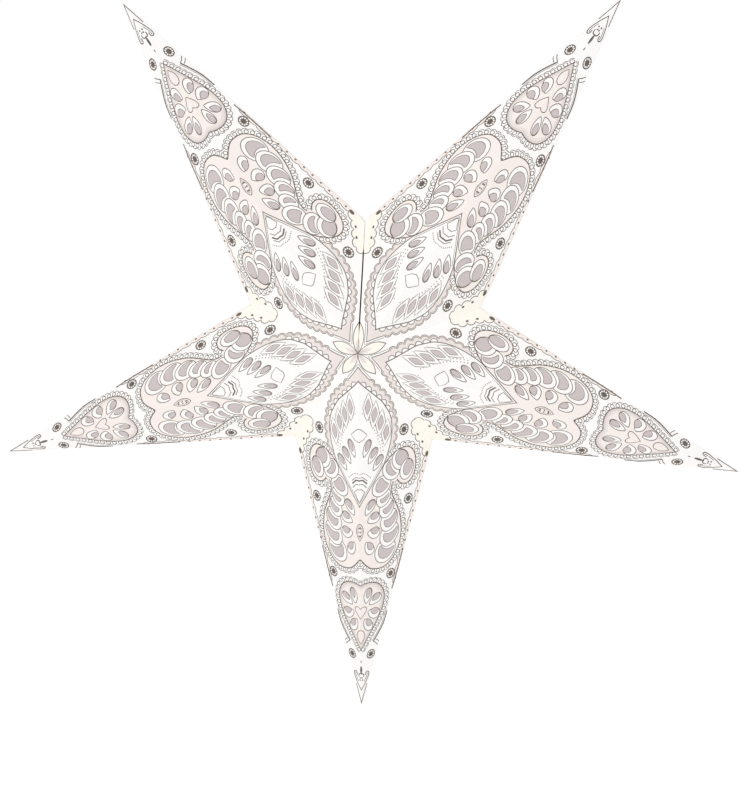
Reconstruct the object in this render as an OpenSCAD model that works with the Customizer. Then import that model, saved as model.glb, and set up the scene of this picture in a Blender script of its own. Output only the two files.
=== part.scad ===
// Paper star lantern: five folded and window-cut arms round a shared centre, each lined with tissue.
// The star hangs in the X-Z plane from its cord hole at the origin, with its front towards -Y.

/* [Star] */
// Reach of each tip from the star's centre
tipReach = 315; // [220:1:450]
// Reach of the point where front and back facets would meet between two arms, before the side fold
notchReach = 98; // [80:1:120]
// Depth of the front and back centre points from the middle plane
halfDepth = 60; // [50:1:75]

/* [Paper] */
// Thickness of the arm paper
paperThick = 0.3; // [0.2:0.05:0.6]
// Thickness of the tissue lining
tissueThick = 0.12; // [0.08:0.02:0.2]
// Radius of the soft side fold at its wide end, which runs to nothing at the tip
foldRadius = 4; // [2:0.5:6]
// Depth of the glue flaps that turn in along each valley
flapDepth = 8; // [5:1:12]
// Distance from the star's centre line at which the flaps start
flapStart = 6; // [4:1:10]
// Clearance between the lining and the flaps
liningGap = 0.1; // [0.05:0.05:0.3]
// Thickness of the glue between two flaps, and on each side of a pad
glueFilm = 0.03; // [0.02:0.01:0.1]

/* [Seam] */
// Width at which the opening seam between the upper arms gapes
seamGape = 1.0; // [0.6:0.1:2.5]
// Run over which the seam opens beside each pad
gapeRun = 6; // [4:1:16]
// Thickness of the adhesive pads that hold the seam shut
padThick = 0.2; // [0.1:0.05:0.4]
// Length of each adhesive pad
padLength = 6; // [5:1:8]
// Width of each adhesive pad
padWidth = 4; // [3:0.5:4]
// Distance of a pad from the valley crease
padInset = 1.5; // [1:0.5:2.5]
// Place of the centre pads along the valley crease
centrePadAt = 13; // [13:1:20]
// Place of the notch pads, back along the crease from the notch
notchPadAt = 21; // [21:1:32]

/* [Cord hole] */
// Radius of the hole that the lamp cord hangs through
cordHoleR = 3; // [2:0.25:3.5]
// How far down into the star the hole is cut clear
cordHoleDeep = 24; // [18:1:30]

/* [Windows] */
// Size of every window against its drawn size
windowScale = 1; // [0.8:0.05:1.1]

// One node to draw, or all of them

/* [Hidden] */
paperColour = "#f3ece8";
tissueColour = "#b9aeb2";
padColour = "#d8d2c4";
$fn = 48;

// The facets of one arm, whose ridge runs along +X from the star's centre line
halfStep = 36; // half the turn from one arm to the next
notch = [notchReach * cos(halfStep), notchReach * sin(halfStep)];
ridgeLength = norm([tipReach, halfDepth]);
ridgeTilt = atan(halfDepth / tipReach);
facetFall = halfDepth * cos(ridgeTilt) - notch[0] * sin(ridgeTilt);
facetRoll = atan(facetFall / notch[1]);
facetWidth = norm([facetFall, notch[1]]);

// The soft side fold: flat bands that all run to the tip, tangent to a slim cone
sideTurn = atan(notch[1] / (tipReach - notch[0]));
sideLength = norm([notch[1], tipReach - notch[0]]);
sideSlope = atan(halfDepth / (tipReach * sin(sideTurn)));
coneHalf = asin(foldRadius / sideLength);
coneIn = asin(sin(coneHalf) / sin(sideSlope));
foldFrom = atan(tan(sideSlope) * cos(coneIn));
foldStep = (180 - 2 * foldFrom) / 4;

// Height of the rounded notch over the star's centre, which is where the cord hole and the origin are
foldTakes = sideLength * (sin(coneIn) - tan(coneHalf)) / sin(halfStep + sideTurn);
hangHeight = notchReach - foldTakes;

// The window pattern is drawn on a ridge 321 long and a facet 72 wide, then fitted to the real ones
patternFit = [ridgeLength / 321, facetWidth / 72];

creaseLength = norm([notchReach, halfDepth]);
creaseTilt = atan(halfDepth / notchReach);
far = 2 * tipReach;

// The seam gapes from the end of the centre pads to the start of the notch pads
padBack = (padInset + padWidth) * sin(creaseTilt); // how far a pad's inner edge lies behind its outer one
gapeStart = (centrePadAt + padLength / 2) * cos(creaseTilt);
gapeEnd = (creaseLength - notchPadAt - padLength / 2) * cos(creaseTilt) - padBack;

// Windows of one half facet: along the ridge, off the ridge, length, width and turn
// The row of crescents that runs round the big heart, lobe first
crescents = [
  [93.2, 38, 12, 11.5, 221], [100.6, 28.4, 8.8, 13.5, -60], [113, 21.2, 11.8, 11.8, -40],
  [125, 23.3, 7.8, 8.6, 19], [135.4, 26.4, 8, 10, 24], [146, 28.4, 10, 12.6, 24],
  [159.9, 28.8, 12.2, 14.2, 12], [172.8, 24.4, 14, 15, -13]];
// The oval in the round side lobe
ovals = [[103, 44.6, 13, 8.7, -12]];
// Teardrops round the middle of the big heart and of the small heart
teardrops = [
  [126.7, 10.4, 10, 5.8, -33], [137.3, 13.4, 9, 7, -72], [150.7, 13.4, 9, 7, 255],
  [163.4, 9.2, 9.5, 6, 205], [207, 7.6, 10, 5.6, -14], [213, 14.8, 9, 6.8, -60],
  [226.7, 13.2, 9, 7, 238], [235.6, 7.7, 9.5, 6, 206]];
// Petal cuts and lozenges of the leaf
leafCuts = [[89.8, 17.6, 10.5, 5, -36], [82.6, 12.9, 10.5, 5, -34], [75.3, 7.7, 10.5, 4.6, -24]];
lozenges = [[68, 24.7, 13, 5, -8], [58.8, 19.6, 13, 5, -8], [51.2, 14, 13, 5, -8],
            [43.6, 8.2, 13, 4.7, -4]];

crescentShape = [[-0.4, 0.42], [0.36, 0.36], [0.36, -0.36], [-0.4, -0.42], [-0.14, 0]];
ovalShape = [[0.5, 0.1], [0.2, 0.5], [-0.3, 0.45], [-0.5, -0.1], [-0.2, -0.5], [0.3, -0.45]];
teardropShape = [[0.5, 0], [-0.22, 0.5], [-0.5, 0], [-0.22, -0.5]];
lozengeShape = [[0.5, 0], [0, 0.5], [-0.5, 0], [0, -0.5]];

// A window's outline, turned and set in its place, then fitted to the facet's real size
function windowOutline(shape, w) = [for (p = shape)
  let (x = p[0] * w[2] * windowScale, y = p[1] * w[3] * windowScale)
  [(w[0] + x * cos(w[4]) - y * sin(w[4])) * patternFit[0],
   (w[1] + x * sin(w[4]) + y * cos(w[4])) * patternFit[1]]];

// A point beside the valley line that bounds an arm: out along the valley, then in towards the arm
function byValley(out, inward) =
  [out * cos(halfStep) + inward * sin(halfStep), out * sin(halfStep) - inward * cos(halfStep)];

// Everything on the inner side of a plane that faces +Z, set back by the inset
module innerSide(inset) {
  translate([-far, -far, -2 * far - inset]) cube(2 * far);
}

// A facet's own plane: X along the ridge from the centre point, Y off the ridge, Z outwards
module onFacet(side, back) {
  mirror([0, side, 0]) mirror([0, 0, back])
    translate([0, 0, halfDepth]) rotate([0, ridgeTilt, 0]) rotate([-facetRoll, 0, 0]) children();
}

// One flat band of the side fold, by the turn of its face
module foldBand(side, turn, inset) {
  mirror([0, side, 0]) translate([tipReach, 0, 0])
    rotate([0, 0, 180 - sideTurn + coneIn]) rotate([turn, 0, 0]) rotate([0, -coneHalf, 0])
      innerSide(inset);
}

// The arm as a solid point, set back all over by the inset
module armForm(inset) {
  intersection() {
    onFacet(0, 0) innerSide(inset);
    onFacet(1, 0) innerSide(inset);
    onFacet(0, 1) innerSide(inset);
    onFacet(1, 1) innerSide(inset);
    foldBand(0, foldFrom + foldStep, inset);
    foldBand(0, foldFrom + 2 * foldStep, inset);
    foldBand(0, foldFrom + 3 * foldStep, inset);
    foldBand(1, foldFrom + foldStep, inset);
    foldBand(1, foldFrom + 2 * foldStep, inset);
    foldBand(1, foldFrom + 3 * foldStep, inset);
  }
}

// What lies on an arm's side of one valley, where the seam stands back by its gape
module valleyBound(side, seam, inset) {
  shut = glueFilm / 2 + (seam ? (padThick + glueFilm) / 2 : 0);
  open = seamGape / 2;
  mirror([0, side, 0]) translate([0, 0, -far / 2]) linear_extrude(far)
    polygon([
      byValley(-far / 2, inset + shut),
      if (seam) byValley(gapeStart, inset + shut),
      if (seam) byValley(gapeStart + gapeRun, inset + open),
      if (seam) byValley(gapeEnd - gapeRun, inset + open),
      if (seam) byValley(gapeEnd, inset + shut),
      byValley(far, inset + shut),
      byValley(far, inset + far),
      byValley(-far / 2, inset + far)]);
}

module windowCuts() {
  for (side = [0, 1]) for (back = [0, 1]) onFacet(side, back) translate([0, 0, -paperThick - 0.5])
    linear_extrude(paperThick + 1) {
      for (w = crescents) polygon(windowOutline(crescentShape, w));
      for (w = ovals) polygon(windowOutline(ovalShape, w));
      for (w = teardrops) polygon(windowOutline(teardropShape, w));
      for (w = leafCuts) polygon(windowOutline(teardropShape, w));
      for (w = lozenges) polygon(windowOutline(lozengeShape, w));
    }
}

// One folded sheet along +X: four facets, soft side folds and the flaps turned in at its base
module armSheet(seamSide) {
  color(paperColour) difference() {
    intersection() {
      armForm(0);
      valleyBound(0, seamSide == 0, 0);
      valleyBound(1, seamSide == 1, 0);
    }
    intersection() {
      armForm(paperThick);
      valleyBound(0, seamSide == 0, paperThick);
      valleyBound(1, seamSide == 1, paperThick);
    }
    armForm(flapDepth);
    intersection() {
      armForm(paperThick);
      cylinder(h = far, r = flapStart, center = true);
    }
    windowCuts();
  }
}

// The tissue glued inside one arm
module armTissue(seamSide) {
  color(tissueColour) difference() {
    intersection() {
      armForm(paperThick);
      valleyBound(0, seamSide == 0, paperThick + liningGap);
      valleyBound(1, seamSide == 1, paperThick + liningGap);
    }
    armForm(paperThick + tissueThick);
  }
}

// Stands an arm up in the star, by its turn from +X
module inStar(turn) {
  translate([0, 0, -hangHeight]) rotate([90, 0, 0]) rotate([0, 0, turn]) children();
}

module cordHole() {
  translate([0, 0, -cordHoleDeep]) cylinder(h = 2 * cordHoleDeep, r = cordHoleR);
}

// A pad lies between the seam's flaps, beside the crease from the centre point to the notch
module seamPad(back, along) {
  translate([0, 0, -hangHeight]) mirror([0, back, 0]) translate([0, -halfDepth, 0])
    rotate([-creaseTilt, 0, 0]) translate([-padThick / 2, padInset, along - padLength / 2])
      cube([padThick, padWidth, padLength]);
}

module upper_left_arm() difference() { inStar(90 + halfStep) armSheet(1); cordHole(); }
module upper_right_arm() difference() { inStar(90 - halfStep) armSheet(0); cordHole(); }
module right_arm() inStar(90 - 3 * halfStep) armSheet(-1);
module bottom_arm() inStar(90 - 5 * halfStep) armSheet(-1);
module left_arm() inStar(90 + 3 * halfStep) armSheet(-1);
module upper_left_tissue() difference() { inStar(90 + halfStep) armTissue(1); cordHole(); }
module upper_right_tissue() difference() { inStar(90 - halfStep) armTissue(0); cordHole(); }
module right_tissue() inStar(90 - 3 * halfStep) armTissue(-1);
module bottom_tissue() inStar(90 - 5 * halfStep) armTissue(-1);
module left_tissue() inStar(90 + 3 * halfStep) armTissue(-1);
module seam_pads() {
  color(padColour) for (back = [0, 1]) {
    seamPad(back, centrePadAt);
    seamPad(back, creaseLength - notchPadAt);
  }
}

upper_left_arm();
upper_right_arm();
right_arm();
bottom_arm();
left_arm();
upper_left_tissue();
upper_right_tissue();
right_tissue();
bottom_tissue();
left_tissue();
seam_pads();
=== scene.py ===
# Paper star lantern: five folded arms of printed, window-cut card over tissue, in soft studio light
import math
import bpy
import bmesh
import numpy as np
from mathutils import Matrix, Vector
from mathutils.geometry import delaunay_2d_cdt


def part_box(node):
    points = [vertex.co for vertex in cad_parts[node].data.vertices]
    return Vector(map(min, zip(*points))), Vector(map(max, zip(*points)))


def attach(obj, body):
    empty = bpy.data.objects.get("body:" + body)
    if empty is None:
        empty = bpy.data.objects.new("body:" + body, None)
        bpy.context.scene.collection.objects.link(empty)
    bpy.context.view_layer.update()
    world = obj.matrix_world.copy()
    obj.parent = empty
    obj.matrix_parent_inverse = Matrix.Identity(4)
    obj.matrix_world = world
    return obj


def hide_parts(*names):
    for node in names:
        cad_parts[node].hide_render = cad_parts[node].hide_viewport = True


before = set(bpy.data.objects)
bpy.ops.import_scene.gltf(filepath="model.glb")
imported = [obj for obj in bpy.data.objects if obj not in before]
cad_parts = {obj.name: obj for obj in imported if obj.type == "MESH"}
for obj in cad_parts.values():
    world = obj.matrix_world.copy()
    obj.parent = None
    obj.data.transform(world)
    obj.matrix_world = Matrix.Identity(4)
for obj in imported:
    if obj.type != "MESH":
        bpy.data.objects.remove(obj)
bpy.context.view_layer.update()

mm = 0.001

# The star's main sizes in mm, read from the bottom arm, which hangs straight down
armLow, armHigh = (Vector(corner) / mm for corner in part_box("bottom_arm"))
star = {
    "tipReach": armHigh.z - armLow.z,
    "halfDepth": (armHigh.y - armLow.y) / 2,
    "hangHeight": -armHigh.z,
    "notchReach": 98.0,      # where front and back facets would meet without the side fold
    "foldRadius": 4.0,       # the side fold at its wide end
    "cardThick": 0.3,
    "flapDepth": 8.0,
    "flapStart": 6.0,
    "cordHole": 3.0,
}
print("star read from the frame:", {k: round(v, 2) for k, v in star.items()})


# Camera

view = {
    "spot": Vector((52.7, -670.7, 85.6)),     # from the star's centre, mm
    "aim": Vector((6.8, 0.0, -45.5)),
    "roll": 0.57,                             # degrees
    "lens": 38.68,
}


def placeCamera(v):
    centre = Vector((0, 0, -star["hangHeight"]))
    spot, aim = (v["spot"] + centre) * mm, (v["aim"] + centre) * mm
    turn = (aim - spot).to_track_quat("-Z", "Y") @ Matrix.Rotation(
        math.radians(v["roll"]), 4, "Z").to_quaternion()
    data = bpy.data.cameras.new("studioCamera")
    data.lens = v["lens"]
    data.sensor_width = 36
    camera = bpy.data.objects.new("studioCamera", data)
    camera.matrix_world = Matrix.LocRotScale(spot, turn, None)
    bpy.context.collection.objects.link(camera)
    bpy.context.scene.camera = camera


placeCamera(view)
print("camera placed")


# Node helpers and materials

def linear(hexColour):
    channels = [int(hexColour[i:i + 2], 16) / 255 for i in (1, 3, 5)]
    return [c / 12.92 if c <= 0.04045 else ((c + 0.055) / 1.055) ** 2.4 for c in channels] + [1]


def addNode(tree, kind, settings=None, inputs=None):
    node = tree.nodes.new(kind)
    for name, value in (settings or {}).items():
        setattr(node, name, value)
    for name, value in (inputs or {}).items():
        if isinstance(value, bpy.types.NodeSocket):
            tree.links.new(value, node.inputs[name])
        else:
            node.inputs[name].default_value = value
    return node


def newSurface(name):
    # a material with its tree, its surface node and the object's own coordinates
    material = bpy.data.materials.new(name)
    material.use_nodes = True
    tree = material.node_tree
    place = addNode(tree, "ShaderNodeTexCoord").outputs["Object"]
    return material, tree, tree.nodes["Principled BSDF"], place


# How each printed colour sits on the card: offset ink on matt white card stock; the flaps' colour is
# painted seam shade, not ink.
# The ink is thin, so the card's own fibre and roughness carry through it.
cardColours = {
    "card": "#fbf9f7",
    "ink": "#6a5f58",
    "blush": "#f6ede8",
    "cream": "#fcf7ee",
    "taupe": "#ebe2de",
    "shade": "#ddd3d0",
    "paintedSeamShade": "#9a8373",       # the flaps: a dark brown painted shade for the shadow inside the seam
    "cardInside": "#f1ece7",  # the sheet's unprinted side and its cut edges
}
cardFinish = {
    "fibreSize": 0.55,       # mm, drawn coarser than the 0.03 mm real fibre so that it shows
    "cloudSize": 28.0,       # mm between paler and greyer patches of the sheet
    "cloudDepth": 0.035,
    "roughness": 0.72,
    "bump": 0.05,            # mm
}


def cardMaterial(name, colour, f):
    material, tree, surface, place = newSurface(name)
    fibre = addNode(tree, "ShaderNodeTexNoise", None, {
        "Vector": place, "Scale": 1 / (f["fibreSize"] * mm), "Detail": 3, "Roughness": 0.6})
    cloud = addNode(tree, "ShaderNodeTexNoise", None,
                    {"Vector": place, "Scale": 1 / (f["cloudSize"] * mm), "Detail": 2})
    low = [c * (1 - f["cloudDepth"]) for c in linear(colour)[:3]] + [1]
    tint = addNode(tree, "ShaderNodeMix", {"data_type": "RGBA"},
                   {0: cloud.outputs["Fac"], 6: low, 7: linear(colour)})
    tree.links.new(tint.outputs[2], surface.inputs["Base Color"])
    grain = addNode(tree, "ShaderNodeBump", None,
                    {"Height": fibre.outputs["Fac"], "Strength": 0.35, "Distance": f["bump"] * mm})
    tree.links.new(grain.outputs["Normal"], surface.inputs["Normal"])
    surface.inputs["Roughness"].default_value = f["roughness"]
    surface.inputs["IOR"].default_value = 1.5
    surface.inputs["Specular IOR Level"].default_value = 0.25
    return material


cardSurfaces = {kind: cardMaterial(kind + "PrintedCard", colour, cardFinish)
                  for kind, colour in cardColours.items()}
kinds = list(cardColours)

# Dyed tissue: thin, long-fibred and matt, a grey lilac that lets some lamp light through
tissueFinish = {"colour": "#d0c6c6", "deep": "#c3b9b9", "fibre": 1.8, "roughness": 0.85}


def tissueMaterial(t):
    material, tree, surface, place = newSurface("dyedTissue")
    fibre = addNode(tree, "ShaderNodeTexNoise", None,
                    {"Vector": place, "Scale": 1 / (t["fibre"] * mm), "Detail": 4, "Distortion": 1.5})
    tint = addNode(tree, "ShaderNodeMix", {"data_type": "RGBA"},
                   {0: fibre.outputs["Fac"], 6: linear(t["deep"]), 7: linear(t["colour"])})
    tree.links.new(tint.outputs[2], surface.inputs["Base Color"])
    crinkle = addNode(tree, "ShaderNodeBump", None,
                      {"Height": fibre.outputs["Fac"], "Strength": 0.3, "Distance": 0.1 * mm})
    tree.links.new(crinkle.outputs["Normal"], surface.inputs["Normal"])
    surface.inputs["Roughness"].default_value = t["roughness"]
    return material


# Acrylic foam tape: the pads in the seam, greyish white and slightly satin
padFinish = {"colour": "#d9d4c8", "roughness": 0.5, "cell": 0.4}


def padMaterial(p):
    material, tree, surface, place = newSurface("acrylicFoamTape")
    cells = addNode(tree, "ShaderNodeTexVoronoi", None,
                    {"Vector": place, "Scale": 1 / (p["cell"] * mm)})
    foam = addNode(tree, "ShaderNodeBump", None,
                   {"Height": cells.outputs["Distance"], "Strength": 0.2, "Distance": 0.05 * mm})
    tree.links.new(foam.outputs["Normal"], surface.inputs["Normal"])
    surface.inputs["Base Color"].default_value = linear(p["colour"])
    surface.inputs["Roughness"].default_value = p["roughness"]
    return material


tissue = tissueMaterial(tissueFinish)
tape = padMaterial(padFinish)
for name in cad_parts:
    for place in bpy.data.objects[name].material_slots:
        place.material = tissue if name.endswith("tissue") else tape
print("materials made")


# Flat artwork of one half facet, in mm: along the ridge from the centre point, and off the ridge

def smooth(points, closed=False, step=1.4):
    # an even curve through the given points
    count = len(points)
    spans = count if closed else count - 1
    dense = []
    for i in range(spans):
        p = [Vector(points[(i + k) % count] if closed else points[min(max(i + k, 0), count - 1)])
             for k in (-1, 0, 1, 2)]
        pieces = max(2, round((p[2] - p[1]).length / step))
        for j in range(pieces):
            t = j / pieces
            dense.append(0.5 * (2 * p[1] + (p[2] - p[0]) * t
                                + (2 * p[0] - 5 * p[1] + 4 * p[2] - p[3]) * t * t
                                + (3 * p[1] - p[0] - 3 * p[2] + p[3]) * t ** 3))
    if not closed:
        dense.append(Vector(points[-1]))
    return dense


def sideways(points, i, closed):
    count = len(points)
    before = points[(i - 1) % count] if closed or i else points[0]
    after = points[(i + 1) % count] if closed or i < count - 1 else points[-1]
    along = (after - before).normalized()
    return Vector((along.y, -along.x))


def shifted(points, amount, closed=False):
    # a line beside the given one: to its right where amount is positive
    return [p + sideways(points, i, closed) * amount for i, p in enumerate(points)]


def scalloped(points, pitch, height, steps=5):
    # bumps on the right of a line, as round as a coin's edge
    lengths = [0]
    for p, q in zip(points, points[1:]):
        lengths.append(lengths[-1] + (q - p).length)
    bumps = max(1, round(lengths[-1] / pitch))
    edge, k = [], 0
    for j in range(bumps * steps + 1):
        along = min(lengths[-1] * j / (bumps * steps), lengths[-1] - 1e-6)
        while lengths[k + 1] < along:
            k += 1
        part = (along - lengths[k]) / (lengths[k + 1] - lengths[k])
        spot = points[k].lerp(points[k + 1], part)
        lift = math.sin(math.pi * (j % steps) / steps) ** 0.6 * height
        edge.append(spot + sideways(points, min(k, len(points) - 2), False) * lift)
    return edge


def stations(points, pitch):
    # evenly spaced points along a line
    total = sum((q - p).length for p, q in zip(points, points[1:]))
    count = max(1, round(total / pitch))
    spots, walked, wanted = [], 0, total / count / 2
    for p, q in zip(points, points[1:]):
        length = (q - p).length
        while walked + length > wanted and len(spots) < count:
            spots.append(p.lerp(q, (wanted - walked) / length))
            wanted += total / count
        walked += length
    return spots


def disc(centre, along, across, turn=0, corners=8):
    c, s = math.cos(math.radians(turn)), math.sin(math.radians(turn))
    return [Vector((centre[0] + c * along * math.cos(t) - s * across * math.sin(t),
                    centre[1] + s * along * math.cos(t) + c * across * math.sin(t)))
            for t in (2 * math.pi * k / corners for k in range(corners))]


artwork = []      # painted in order: each shape is a closed outline and what it prints or cuts


def paint(outline, kind):
    artwork.append((outline, kind))


def inkLine(points, width=0.7, stretch=10):
    # short overlapping stretches, so that no outline crosses itself
    for start in range(0, len(points) - 1, stretch):
        part = points[start:start + stretch + 2]
        if len(part) > 1:
            paint(shifted(part, width / 2) + shifted(part, -width / 2)[::-1], "ink")


# Drops and lozenges one unit long and wide, with a drop's point towards +X
def teardrop(corners=16):
    return [(0.5 * math.cos(t), 0.59 * math.sin(t) * math.sin(t / 2) ** 0.6)
            for t in (2 * math.pi * (k + 0.5) / corners for k in range(corners))]


def lozenge(corners=3):
    points, ends = [], ((0.5, 0), (0, 0.5), (-0.5, 0), (0, -0.5))
    for a, b in zip(ends, ends[1:] + ends[:1]):
        for k in range(corners):
            t = k / corners
            bow = 0.16 * t * (1 - t)
            points.append((a[0] + (b[0] - a[0]) * t + bow * (a[0] + b[0]),
                           a[1] + (b[1] - a[1]) * t + bow * (a[1] + b[1])))
    return points


def placed(shape, w, grow=0.0, aside=(0.0, 0.0), share=1.0):
    # w is along, off, length, width and turn; grow widens the outline all round
    c, s = math.cos(math.radians(w[4])), math.sin(math.radians(w[4]))
    flat = [Vector((x * w[2] * share, y * w[3] * share)) for x, y in shape]
    if grow:
        flat = shifted(flat, grow, True)
    return [Vector((w[0] + aside[0] + c * p.x - s * p.y, w[1] + aside[1] + s * p.x + c * p.y))
            for p in flat]


# The cuts in the card. A scale is a round window behind a broad white band, and each one overlaps the
# next towards the tip: along, off, half length, half width, and the turn of its broad side.
scales = [
    (104.6, 44.2, 9.0, 6.3, -14), (94.6, 38.2, 7.8, 9.2, -70), (101.4, 29.4, 7.6, 9.3, -60),
    (113, 20.5, 9.6, 7.8, -45), (123.8, 22.4, 8.2, 6.3, -25), (133.8, 25.3, 8.7, 6.7, -20),
    (145.2, 27.6, 10.2, 7.8, -20), (158.2, 27.9, 11.2, 8.7, -22), (172, 23.9, 11.3, 9.6, -25)]
scaleBand = {
    "aside": Vector((-1.4, 1.1)),     # moves the window, so that the band is broad on the tip's side
    "along": 2.3,                     # how much less long and wide the window is than its scale
    "across": 2.5,
    "rim": 1.3,                       # round the scale that lies over it and bites it
    "biteOff": (0.8, 1.6),            # moves the bite along and across the turn of that scale
}
scaleCorners = 26
# along, off, length, width and turn of each drop's printed outline; its window is smaller, set aside
drops = [
    (128.7, 9.6, 14.5, 8, -35), (139.4, 13, 12, 10, -72), (152.4, 13, 12, 10.2, 255),
    (165, 8.6, 13.5, 8.2, 206), (209.2, 7, 14.5, 7.6, -14), (215.2, 14.2, 13.2, 9.2, -60),
    (228, 12.6, 12.8, 9.8, 238), (237.2, 6.9, 14, 8, 206)]
leafDrops = [(91.8, 17, 14.5, 6.6, -35), (84.6, 12.3, 14.5, 6.6, -32), (77.2, 7, 15, 6.2, -22)]
dropWindow = {"aside": (-1.9, 0.9), "share": 0.6}
lozenges = [(68, 24.7, 12.6, 5, -8), (58.8, 19.6, 12.6, 5, -8), (51.2, 14, 12.6, 5, -8),
            (43.6, 8.2, 12.6, 4.6, -4)]


def bitten(cut, over, rim, biteOff):
    # what the scale that lies over this one, with a rim round it, leaves of the window
    along, off, half, width, turn = over
    c, s = math.cos(math.radians(turn)), math.sin(math.radians(turn))
    along, off = along + c * biteOff[0] - s * biteOff[1], off + s * biteOff[0] + c * biteOff[1]

    def under(p):
        x, y = p.x - along, p.y - off
        return ((c * x + s * y) / (half + rim)) ** 2 + ((c * y - s * x) / (width + rim)) ** 2 < 1

    def run(points, wanted):
        # the unbroken stretch of points that pass the test, in order round the outline
        first = next(i for i, p in enumerate(points) if wanted(p) and not wanted(points[i - 1]))
        turned = points[first:] + points[:first]
        return [p for p in turned if wanted(p)]

    bite = disc((along, off), half + rim, width + rim, turn, 60)

    def within(p):
        sides = [(q - o).cross(p - o) for o, q in zip(cut, cut[1:] + cut[:1])]
        return min(sides) > 0

    return run(cut, lambda p: not under(p)) + run(bite, within)[::-1]


def paintScales(band):
    # the tip's end first, since each later one lies over the one before
    for (along, off, half, width, turn), over in list(zip(scales, [None] + scales))[::-1]:
        paint(disc((along, off), half + 0.3, width + 0.3, turn, scaleCorners), "ink")
        paint(disc((along, off), half - 0.35, width - 0.35, turn, scaleCorners), "card")
        cut = disc(Vector((along, off)) + band["aside"], half - band["along"],
                   width - band["across"], turn, scaleCorners)
        if over:
            cut = bitten(cut, over, band["rim"], band["biteOff"])
        paint(shifted(cut, 0.45, True), "ink")
        paint(cut, "window")


def paintDrop(w):
    drop, aside, share = teardrop(), dropWindow["aside"], dropWindow["share"]
    paint(placed(drop, w, 0.3), "ink")
    paint(placed(drop, w, -0.35), "card")
    paint(placed(drop, w, 0.45, aside, share), "ink")
    paint(placed(drop, w, 0, aside, share), "window")


def paintLozenge(w):
    outer = (w[0], w[1], w[2] + 9.5, w[3] + 3.8, w[4])
    paint(placed(lozenge(), outer, 0.5), "ink")
    paint(placed(lozenge(), outer), "card")
    paint(placed(lozenge(), w, 0.4), "ink")
    paint(placed(lozenge(), w), "window")


curves = {
    "stripEdge": [(98, 61.8), (110, 58.6), (130, 53.2), (150, 47.6), (170, 41.6), (190, 35.9),
                  (206, 31.8)],
    "padEdge": [(63.8, 52.6), (66.6, 49.8), (72, 49.6), (78, 52.8), (84, 56.6), (91, 60), (98, 61.8)],
    "heart": [(111.8, 31.6), (115.4, 30), (122, 30.2), (132.5, 34.2), (141, 37.4), (150, 39),
              (160, 39.3), (171.4, 37), (181, 31.4), (185.8, 25.2), (187, 19), (184.8, 11),
              (180, 5.6), (174, 1.2), (171, -2)],
    "lobe": [(127, -1), (121.8, 2.5), (108, 13), (94.8, 22.9), (88, 31.4), (85, 38.5), (85.6, 46),
             (91, 51), (99, 52.8), (108, 52), (114.4, 48.6), (116.8, 43.6), (115.2, 38.4), (110.8, 35)],
    "smallHeart": [(197.6, -2), (197, 5), (198, 11.4), (201, 17), (206, 20.9), (213, 23), (220, 22.6),
                   (228, 20.3), (236, 16.2), (243, 11.8), (250, 7), (256, 3), (261, -1)],
    "leaf": [(20, -1), (25, 3.2), (36.3, 15.2), (41.5, 20.6), (48.3, 25), (53.8, 28), (61.5, 29.7),
             (70.3, 29.8), (80, 28), (88.7, 25.2), (94, 23)],
    "leafEdge": [(22, 9.6), (28.4, 15.4), (34, 21.6), (40, 26.2), (47, 29.6),
                 (55, 32.2), (65.5, 33.6), (76.4, 32.4), (84.4, 30), (91, 26.6)],
    "leafFoot": [(22, 9.6), (16.4, 4.6), (9, -1)],
    "leafTip": [(94, 23), (108, 13), (121.8, 2.5), (127, -1)],
    "valleyDots": [(46, 3), (52, 8.6), (60, 13.4), (68, 17.2), (76, 19.8), (84, 21)],
}


def paintStrip(pitch=8.6):
    # the tinted strip that follows the side fold, with a dot in each scallop of its edge
    line = smooth(curves["stripEdge"])
    edge = scalloped(line, pitch, 1.1)
    paint(edge + [Vector((214, 50)), Vector((98, 90))], "blush")
    inkLine(edge, 0.6)
    for spot in stations(shifted(line, -1.5), pitch):
        paint(disc(spot, 1.0, 0.8, -16), "ink")
    inkLine(smooth([(176, 41.4), (188, 38), (200, 34.4), (211, 30.6)]), 1.1)


def paintPad(pitch=8.2):
    # the cream field that lies across the valley at the notch
    line = smooth(curves["padEdge"])
    edge = scalloped(line, pitch, 2.0)
    paint(edge + [Vector((112, 90)), Vector((60, 90))], "cream")
    inkLine(edge, 0.7)
    for spot in stations(shifted(line, -1.8), pitch)[1:-1]:
        paint(disc(spot, 1.4, 0.9, 35), "ink")
    paint(disc((96.5, 63.6), 2.6, 1.5, -12, 12), "ink")


def paintBorder(line, reach, pitch=4.9):
    # a lace border on the left of a line: a scalloped edge with a ring-shaped bead in each scallop
    outer = scalloped(smooth(shifted(line, 0.72 * -reach), step=1.6)[::-1], pitch, 0.28 * reach)
    paint(outer + line, "card")
    inkLine(outer, 0.55)
    for spot in stations(shifted(line, 0.4 * -reach), pitch)[::-1]:
        paint(disc(spot, 0.4 * pitch, 0.4 * pitch, 0, 10), "ink")
        paint(disc(spot, 0.28 * pitch, 0.28 * pitch), "card")


def paintHearts():
    lobe, heart, small = (smooth(curves[name]) for name in ("lobe", "heart", "smallHeart"))
    paintBorder(lobe[2 * len(lobe) // 5:], 5.0)
    paintBorder(heart[2:], 4.8)
    paint(lobe + heart, "blush")
    inkLine(lobe, 0.8)
    inkLine(heart, 0.8)
    paintBorder(small, 4.6)
    for depth, kind in ((0, "shade"), (2.0, "taupe"), (4.2, "blush")):
        paint(shifted(small, depth), kind)
    inkLine(small, 0.75)


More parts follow.
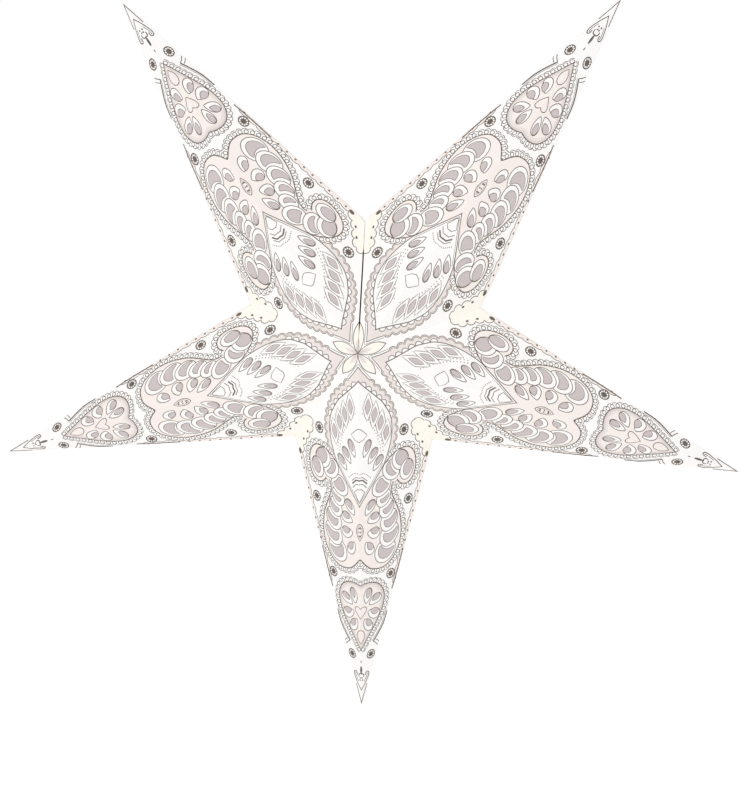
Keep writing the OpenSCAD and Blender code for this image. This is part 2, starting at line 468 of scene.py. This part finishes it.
def paintRosette(centre, radius, dots=10):
    # an ink disc with a ring of small white dots
    paint(disc(centre, radius * 1.06, radius * 0.94, 0, 18), "ink")
    for k in range(dots):
        turn = math.radians(360 / dots * k + 20)
        spot = (centre[0] + 0.68 * radius * math.cos(turn), centre[1] + 0.62 * radius * math.sin(turn))
        paint(disc(spot, radius * 0.17, radius * 0.17, 0, 6), "card")


def paintLeafBorder():
    # broad scallops, each with a white half bead that stands on the leaf's own line
    leaf, edge = smooth(curves["leaf"]), smooth(curves["leafEdge"])
    bumps = scalloped(edge[::-1], 7.4, 2.1)
    foot = smooth(curves["leafFoot"])
    paint(bumps + foot + leaf, "taupe")
    inkLine(bumps, 0.6)
    inkLine(shifted(bumps, -1.1), 0.4)
    inkLine(foot, 0.6)
    inkLine(shifted(foot, 1.6), 0.4)
    for spot in stations([p for p in leaf[4:] if p.x < 58], 6.0):
        paint(disc(spot, 3.2, 3.2, 0, 14), "ink")
        paint(disc(spot, 2.6, 2.6, 0, 14), "card")


def dotted(points, pitch, radius=0.5, kind="ink"):
    for spot in stations(smooth(points), pitch):
        paint(disc(spot, radius, radius, 0, 6), kind)


def paintLeaf():
    leaf, tipEdge = smooth(curves["leaf"]), smooth(curves["leafTip"])
    paint(leaf + tipEdge + [Vector((127, -2)), Vector((20, -2))], "card")
    inkLine(leaf, 0.75)
    inkLine(tipEdge, 0.75)
    inkLine(shifted(tipEdge, 1.5), 0.45)
    # beads inside the leaf's line, then two rows between the lozenges and the drops
    dotted(shifted(leaf, 2.3)[8:-6], 3.3, 0.5, "taupe")
    dotted(shifted(smooth(curves["valleyDots"]), 1.1), 2.9)
    dotted(shifted(smooth(curves["valleyDots"]), -1.1), 2.9)
    for w in lozenges:
        paintLozenge(w)
    # the pale kite on the ridge
    kite = [Vector(p) for p in ((59, -1), (60.5, 2), (66, 7.6), (69.4, 4), (71, -1))]
    paint(kite, "card")
    inkLine(kite, 0.55)
    for w in leafDrops[::-1]:
        paintDrop(w)
    # nested chevrons that fill the tip
    dotted([(97.4, -1), (98, 5), (103.4, 11)], 1.8)
    for back, width in ((100.2, 0.6), (102.6, 1.2), (106, 0.6)):
        corner, end = (back + 0.5, 3.2), (back + 4.6, 7.4 - 0.12 * (back - 100))
        inkLine([Vector((back, -1)), Vector(corner), Vector(end)], width)
    inkLine([Vector(p) for p in ((110.4, -1), (110.6, 1.8), (113.8, 5), (120.6, 1), (121.4, -1))], 0.6)


def paintHeartMiddles():
    # a beaded oval in the big heart, a little heart and a bud in the small one
    inkLine(smooth([(139.6, -0.8), (142.6, 1.9), (148, 3.4), (153.4, 1.9), (156.4, -0.8)]), 0.6)
    inkLine(smooth([(141.2, -1), (143.8, 1), (148, 2.4), (152.2, 1), (154.8, -1)]), 0.35)
    dotted([(142.8, 0.4), (148, 0.9), (153.2, 0.4)], 3.5, 0.75)
    inkLine(smooth([(220.6, -1), (218.6, 2.4), (220.2, 5.6), (224, 5), (228.6, 1), (230, -1)]), 0.65)
    inkLine(smooth([(240, -1), (242.6, 2.6), (247, 3.8), (251.4, 2.6), (255, -1)]), 0.6)


def paintTip():
    # the bracket along the side near the tip with its hook, and the small flourish before the point
    line = smooth([(231, 26), (239, 23.4), (245, 20.4), (250.6, 16.6), (256.4, 12.2)])
    inkLine(line, 1.3)
    inkLine(shifted(line, 1.5), 0.45)
    inkLine(smooth([(256.4, 12.2), (258.6, 14.6), (261.6, 16.6)]), 0.7)
    inkLine(smooth([(255, 14.6), (257, 16.8), (259.4, 18.4)]), 0.6)
    flourish = smooth([(287.6, 4.4), (285.2, 4.6), (284.2, 6), (286, 7.6), (289, 7.2), (292.6, 5.6),
                       (297, 3.2), (302, -0.4)])
    inkLine(flourish, 0.9)
    inkLine(shifted(flourish, 1.7)[3:-6], 0.6)
    inkLine(smooth([(285.4, -1), (284.8, 1), (286.6, 2.6), (289, 2.4)]), 0.9)
    dotted([(288, 0.6), (293, 1.6)], 2.6, 0.8)
    paint(disc((272.2, 0), 1.4, 0.5), "ink")
    paint(disc((280.8, 0), 4.2, 1.1, 0, 12), "ink")
    inkLine([Vector((297, 5.6)), Vector((316, -0.3))], 0.8)


def paintPetal():
    # half of a slim petal that lies along the valley, darker at its foot
    petal = smooth([(0, 0), (2.6, 0.3), (6.7, 1.3), (12, 4.3), (16, 9), (18.8, 15.4)])
    paint(petal + [Vector((10, 16))], "cream")
    paint(smooth([(0, 0), (3.4, 1.1), (7, 3.4), (9.6, 7.8)]) + [Vector((4, 6))], "taupe")
    paint(smooth([(0, 0), (2.4, 1.2), (5.2, 3.6)]) + [Vector((2, 4))], "shade")
    inkLine(petal, 0.6)


paintStrip()
paintPad()
paintLeafBorder()
paintHearts()
paintHeartMiddles()
paintScales(scaleBand)
for drop in drops:
    paintDrop(drop)
paintLeaf()
for spot, radius in (((69.7, 41.2), 4.7), ((131.4, 46.2), 4.6), ((195.8, 29.4), 4.6),
                     ((268.2, 9.8), 4.4)):
    paintRosette(spot, radius)
paintTip()
paintPetal()
print("artwork drawn:", len(artwork), "shapes")


# Folded card: the flat half facet is ruled from the tip, and each fold turns it about such a line

tipReach, halfDepth, notchReach = star["tipReach"], star["halfDepth"], star["notchReach"]
halfStep = math.radians(36)
valleyOut = Vector((math.cos(halfStep), math.sin(halfStep), 0))       # along the valley
valleyIn = Vector((math.sin(halfStep), -math.cos(halfStep), 0))       # off the valley, into the arm
tip = Vector((tipReach, 0, 0))
ridgeLength = math.hypot(tipReach, halfDepth)
ridgeTilt = math.atan2(halfDepth, tipReach)
notchX, notchY = notchReach * valleyOut.x, notchReach * valleyOut.y
facetFall = halfDepth * math.cos(ridgeTilt) - notchX * math.sin(ridgeTilt)
facetRoll = math.atan2(facetFall, notchY)
facetWidth = math.hypot(facetFall, notchY)
sideTurn = math.atan2(notchY, tipReach - notchX)
sideLength = math.hypot(notchY, tipReach - notchX)
sideSlope = math.atan(halfDepth / (tipReach * math.sin(sideTurn)))
coneHalf = math.asin(star["foldRadius"] / sideLength)
coneIn = math.asin(math.sin(coneHalf) / math.sin(sideSlope))
foldFrom = math.atan(math.tan(sideSlope) * math.cos(coneIn))
notchAlong = math.sqrt(notchReach ** 2 + halfDepth ** 2 - facetWidth ** 2)
facetTurn = (math.atan2(facetWidth, ridgeLength - notchAlong)
             - math.acos(math.cos(coneIn) / math.cos(coneHalf)))
fullTurn = facetTurn + (math.pi / 2 - foldFrom) * math.sin(coneHalf)
print(f"facet turns {math.degrees(facetTurn):.2f} then folds to {math.degrees(fullTurn):.2f} degrees")

seam = {"gape": 1.0, "start": 13.6, "end": 74.7, "run": 6.0, "shut": 0.13, "ease": 8.0}
glueFilm = 0.03


def ruling(turn):
    # direction from the tip of the line at this turn from the ridge, once folded
    if turn <= facetTurn:
        flat = Vector((-math.cos(turn), math.sin(turn), 0))
        return Matrix.Rotation(ridgeTilt, 3, "Y") @ Matrix.Rotation(-facetRoll, 3, "X") @ flat
    lean = foldFrom + (turn - facetTurn) / math.sin(coneHalf)
    axis = Matrix.Rotation(math.pi - sideTurn + coneIn, 3, "Z")
    return axis @ Vector((math.cos(coneHalf), -math.sin(coneHalf) * math.sin(lean),
                          math.sin(coneHalf) * math.cos(lean)))


def reachToValley(turn, gap):
    return (tip.dot(valleyIn) - gap) / -ruling(turn).dot(valleyIn)


def gapeAt(out):
    # how much further the seam's edge stands back from the valley plane at this distance out
    rise = min(max((out - seam["start"]) / seam["run"], 0), 1)
    fall = min(max((seam["end"] - out) / seam["run"], 0), 1)
    return seam["shut"] + (seam["gape"] / 2 - seam["shut"]) * min(rise, fall) - glueFilm / 2


def folded(along, off, gaping):
    reach, turn = math.hypot(ridgeLength - along, off), math.atan2(off, ridgeLength - along)
    line = ruling(min(turn, fullTurn))
    spot = tip + line * reach
    if gaping:
        back = gapeAt(spot.dot(valleyOut)) * max(0.0, 1 - spot.dot(valleyIn) / seam["ease"])
        spot = tip + line * (reach - back / -line.dot(valleyIn))
    return spot


# The flat panel: ridge, valley crease, end of the fold at the notch, then the mid-fold line to the tip
drawnLength, drawnWidth = 321, 72        # the half facet that the artwork is drawn for, mm
fitAlong, fitOff = ridgeLength / drawnLength, facetWidth / drawnWidth
facetSteps, foldSteps, foldLines = 40, 8, 7


def panelOutline():
    turns = [facetTurn * k / facetSteps for k in range(facetSteps)]
    turns += [facetTurn + (fullTurn - facetTurn) * k / foldSteps for k in range(foldSteps + 1)]
    edge = []
    for turn in turns:
        reach = reachToValley(turn, glueFilm / 2)
        edge.append((ridgeLength - reach * math.cos(turn), reach * math.sin(turn)))
    return edge + [(ridgeLength, 0.0)]


def inside(points, outline):
    # whether each point lies within a closed outline, by how often the outline winds round it
    winds = np.zeros(len(points), int)
    x, y = points[:, 0], points[:, 1]
    for (x1, y1), (x2, y2) in zip(outline, outline[1:] + outline[:1]):
        side = (x2 - x1) * (y - y1) - (x - x1) * (y2 - y1)
        winds += ((y1 <= y) & (y2 > y) & (side > 0)).astype(int)
        winds -= ((y1 > y) & (y2 <= y) & (side < 0)).astype(int)
    return winds != 0


def cutPanel():
    # every outline goes into one triangulation, and each triangle takes the shape painted last over it
    shapes = [([(p[0] * fitAlong, p[1] * fitOff) for p in outline], kind) for outline, kind in artwork]
    edge = panelOutline()
    spots, links = [], []
    for outline in [edge] + [s[0] for s in shapes]:
        first = len(spots)
        spots += [Vector(p) for p in outline]
        links += [(first + i, first + (i + 1) % len(outline)) for i in range(len(outline))]
    verts, _, faces, _, _, _ = delaunay_2d_cdt(spots, links, [], 0, 1e-4)
    place = np.array([tuple(v) for v in verts])
    corners = np.array([f[:3] for f in faces])
    middle = place[corners].mean(axis=1)
    kind = np.zeros(len(faces), int)
    for outline, name in shapes:
        box = np.array([tuple(p) for p in outline])
        near = np.nonzero(((middle > box.min(0)) & (middle < box.max(0))).all(axis=1))[0]
        hit = near[inside(middle[near], outline)] if len(near) else near
        kind[hit] = -1 if name == "window" else kinds.index(name)
    kept = inside(middle, edge) & (kind >= 0)
    flat = bmesh.new()
    made = [flat.verts.new((v[0], v[1], 0)) for v in verts]
    for f, k in zip(corners[kept], kind[kept]):
        flat.faces.new([made[i] for i in f]).material_index = int(k)
    bmesh.ops.delete(flat, geom=[v for v in flat.verts if not v.link_faces], context="VERTS")
    before = len(flat.faces)
    bmesh.ops.dissolve_limit(flat, angle_limit=0.02, verts=flat.verts, edges=flat.edges,
                             delimit={"MATERIAL"})
    bmesh.ops.triangulate(flat, faces=flat.faces)
    # the fold needs lines to bend along: a fan of them from the tip
    for k in range(foldLines):
        turn = facetTurn + (fullTurn - facetTurn) * k / foldLines
        bmesh.ops.bisect_plane(flat, geom=flat.verts[:] + flat.edges[:] + flat.faces[:], dist=1e-5,
                               plane_co=(ridgeLength, 0, 0),
                               plane_no=(math.sin(turn), math.cos(turn), 0))
    bmesh.ops.triangulate(flat, faces=flat.faces)
    print("flat panel:", before, "triangles, then", len(flat.faces))
    return flat


panel = cutPanel()


def cutForGape(side):
    # the seam needs edges to bend at: one beside the crease, and short ones across it where it opens
    # and shuts
    crease = Vector((notchAlong, facetWidth, 0)).normalized()
    across = Vector((crease.y, -crease.x, 0))
    stretch = math.hypot(notchReach, halfDepth) / notchReach
    start, end, run = seam["start"], seam["end"], seam["run"]
    stops = [start + run * k / 4 for k in range(5)] + [end - run * k / 4 for k in range(5)]
    cuts = [(across * seam["ease"], across)] + [(crease * out * stretch, crease) for out in stops]
    for spot, normal in cuts:
        near = [f for f in side.faces
                if min(abs(v.co.dot(across)) for v in f.verts) < seam["ease"] + 1]
        geom = list({g for f in near for g in (*f.verts, *f.edges)}) + near
        bmesh.ops.bisect_plane(side, geom=geom, dist=1e-5, plane_co=spot, plane_no=normal)
    bmesh.ops.triangulate(side, faces=side.faces)


def foldSide(gaping):
    # one side of an arm: front facet, side fold and back facet, with the glue flap turned in
    side = panel.copy()
    if gaping:
        cutForGape(side)
    for face in side.faces:
        middle = face.calc_center_median()
        face.smooth = math.atan2(middle.y, ridgeLength - middle.x) > facetTurn
    for v in side.verts:
        v.co = folded(v.co.x, v.co.y, gaping)
    gaps = {v: v.co.dot(valleyIn) for v in side.verts}
    rim = [e for e in side.edges if e.is_boundary and e.verts[0] in gaps and all(
        gaps[v] < gapeAt(v.co.dot(valleyOut)) * gaping + glueFilm / 2 + 0.01
        and v.co.dot(valleyOut) >= star["flapStart"] for v in e.verts)]
    grown = bmesh.ops.extrude_edge_only(side, edges=rim)["geom"]
    inward = (valleyOut * -halfDepth + Vector((0, 0, -notchReach))).normalized() * star["flapDepth"]
    for v in grown:
        if isinstance(v, bmesh.types.BMVert):
            v.co += inward
            v.co.z = max(v.co.z, 0)
    # the flaps take the painted seam shade, a dark brown that stands for the shadow inside the seam
    for face in grown:
        if isinstance(face, bmesh.types.BMFace):
            face.material_index, face.smooth = kinds.index("paintedSeamShade"), False
    bmesh.ops.mirror(side, geom=side.verts[:] + side.edges[:] + side.faces[:], axis="Z",
                     matrix=Matrix.Identity(4), merge_dist=1e-4)
    bmesh.ops.remove_doubles(side, verts=side.verts, dist=2e-4)
    return side


hole = {"corners": 16, "deep": 24, "nearOut": 68, "nearIn": 12}     # mm, from the hanging point down


def boreCordHole(side):
    # the hole down the valley: cut the card round it, then take out what lies within
    radius = star["cordHole"]
    for k in range(hole["corners"]):
        turn = math.pi * 2 * k / hole["corners"]
        out = valleyIn * math.cos(turn) + Vector((0, 0, math.sin(turn)))
        near = [f for f in side.faces if f.calc_center_median().dot(valleyOut) > hole["nearOut"]
                and f.calc_center_median().dot(valleyIn) < hole["nearIn"]]
        geom = list({g for f in near for g in (*f.verts, *f.edges)}) + near
        bmesh.ops.bisect_plane(side, geom=geom, dist=1e-5, plane_co=out * radius, plane_no=out)
    gone = []
    for face in side.faces:
        middle = face.calc_center_median()
        if middle.dot(valleyOut) > star["hangHeight"] - hole["deep"] and math.hypot(
                middle.dot(valleyIn), middle.z) < radius * 0.99:
            gone.append(face)
    bmesh.ops.delete(side, geom=gone, context="FACES")
    bmesh.ops.triangulate(side, faces=side.faces)


plainSide, seamSide = foldSide(False), foldSide(True)
boreCordHole(seamSide)
print("folded a plain side of", len(plainSide.faces), "and a seam side of", len(seamSide.faces),
      "triangles")

arms = {
    "upper_left": (126, None, "seam"),       # turn from +X, then its side on the left and on the right
    "upper_right": (54, "seam", None),
    "right": (-18, None, None),
    "bottom": (-90, None, None),
    "left": (198, None, None),
}


def makeArm(name, turn, leftSide, rightSide):
    arm = bmesh.new()
    for seamed, flip in ((leftSide, 1), (rightSide, -1)):
        half = bpy.data.meshes.new("half")
        (seamSide if seamed else plainSide).to_mesh(half)
        half.transform(Matrix.Diagonal((1, flip, 1, 1)))
        arm.from_mesh(half)
        bpy.data.meshes.remove(half)
    bmesh.ops.remove_doubles(arm, verts=arm.verts, dist=2e-4)
    bmesh.ops.recalc_face_normals(arm, faces=arm.faces)
    if max(arm.faces, key=lambda f: f.calc_center_median().z).normal.z < 0:
        bmesh.ops.reverse_faces(arm, faces=arm.faces)
    stand = (Matrix.Translation((0, 0, -star["hangHeight"])) @ Matrix.Rotation(math.pi / 2, 4, "X")
             @ Matrix.Rotation(math.radians(turn), 4, "Z"))
    arm.transform(Matrix.Scale(mm, 4) @ stand)
    mesh = bpy.data.meshes.new(name + "_printed_arm")
    arm.to_mesh(mesh)
    arm.free()
    for kind in kinds:
        mesh.materials.append(cardSurfaces[kind])
    piece = bpy.data.objects.new(name + "_printed_arm", mesh)
    bpy.context.collection.objects.link(piece)
    thick = piece.modifiers.new("card", "SOLIDIFY")
    thick.thickness = star["cardThick"] * mm
    thick.offset = -1
    thick.use_even_offset = True
    thick.thickness_clamp = 0
    thick.material_offset = thick.material_offset_rim = kinds.index("cardInside")
    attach(piece, "root")
    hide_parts(name + "_arm")
    return piece


for name, (turn, leftSide, rightSide) in arms.items():
    made = makeArm(name, turn, leftSide, rightSide)
    print(name, "arm:", len(made.data.polygons), "triangles before its thickness")


# Studio

studio = {
    "floorDrop": 0.5,         # mm below the bottom tip
    "floorSize": 6.0,
    "world": 0.75,
    "floorLift": 0.32,        # how much of its own white the floor shows to the camera
    "lamps": [                # place from the star's centre in m, size in m, watts
        ((-0.18, -2.3, 0.35), 1.6, 21),
        ((0.0, 2.0, 0.6), 1.6, 16),
    ],
}


def seenRays(tree):
    # 1 for the rays that look at the backdrop: from the camera, a gloss or a clear piece
    rays = addNode(tree, "ShaderNodeLightPath").outputs
    direct = addNode(tree, "ShaderNodeMath", {"operation": "MAXIMUM"},
                     {0: rays["Is Camera Ray"], 1: rays["Is Glossy Ray"]})
    return addNode(tree, "ShaderNodeMath", {"operation": "MAXIMUM"},
                   {0: direct.outputs[0], 1: rays["Is Transmission Ray"]}).outputs[0]


def makeStudio(s):
    centre = Vector((0, 0, -star["hangHeight"] * mm))
    low = (armLow.z - s["floorDrop"]) * mm
    mesh = bpy.data.meshes.new("floor")
    grid = bmesh.new()
    bmesh.ops.create_grid(grid, x_segments=1, y_segments=1, size=s["floorSize"],
                          matrix=Matrix.Translation((0, 0, low)))
    grid.to_mesh(mesh)
    grid.free()
    floor = bpy.data.objects.new("floor", mesh)
    bpy.context.collection.objects.link(floor)
    paleFloor = bpy.data.materials.new("paleFloor")
    paleFloor.use_nodes = True
    surface = paleFloor.node_tree.nodes["Principled BSDF"]
    surface.inputs["Base Color"].default_value = linear("#f6f6f6")
    surface.inputs["Roughness"].default_value = 0.9
    surface.inputs["Specular IOR Level"].default_value = 0
    surface.inputs["Emission Color"].default_value = (1, 1, 1, 1)
    lift = addNode(paleFloor.node_tree, "ShaderNodeMath", {"operation": "MULTIPLY"},
                   {0: seenRays(paleFloor.node_tree), 1: s["floorLift"]})
    paleFloor.node_tree.links.new(lift.outputs[0], surface.inputs["Emission Strength"])
    mesh.materials.append(paleFloor)
    for place, size, watts in s["lamps"]:
        data = bpy.data.lights.new("softbox", "AREA")
        data.size, data.energy = size, watts
        lamp = bpy.data.objects.new("softbox", data)
        lamp.matrix_world = Matrix.LocRotScale(
            Vector(place) + centre, (-Vector(place)).to_track_quat("-Z", "Y"), None)
        bpy.context.collection.objects.link(lamp)
    world = bpy.data.worlds.new("studio")
    bpy.context.scene.world = world
    world.use_nodes = True
    tree = world.node_tree
    strength = addNode(tree, "ShaderNodeMix", {"data_type": "FLOAT"},
                       {0: seenRays(tree), 2: s["world"], 3: 1.0})
    sky = tree.nodes["Background"]
    sky.inputs["Color"].default_value = (1, 1, 1, 1)
    tree.links.new(strength.outputs[0], sky.inputs["Strength"])
    bpy.context.scene.view_settings.view_transform = "Standard"


makeStudio(studio)
print("studio made")
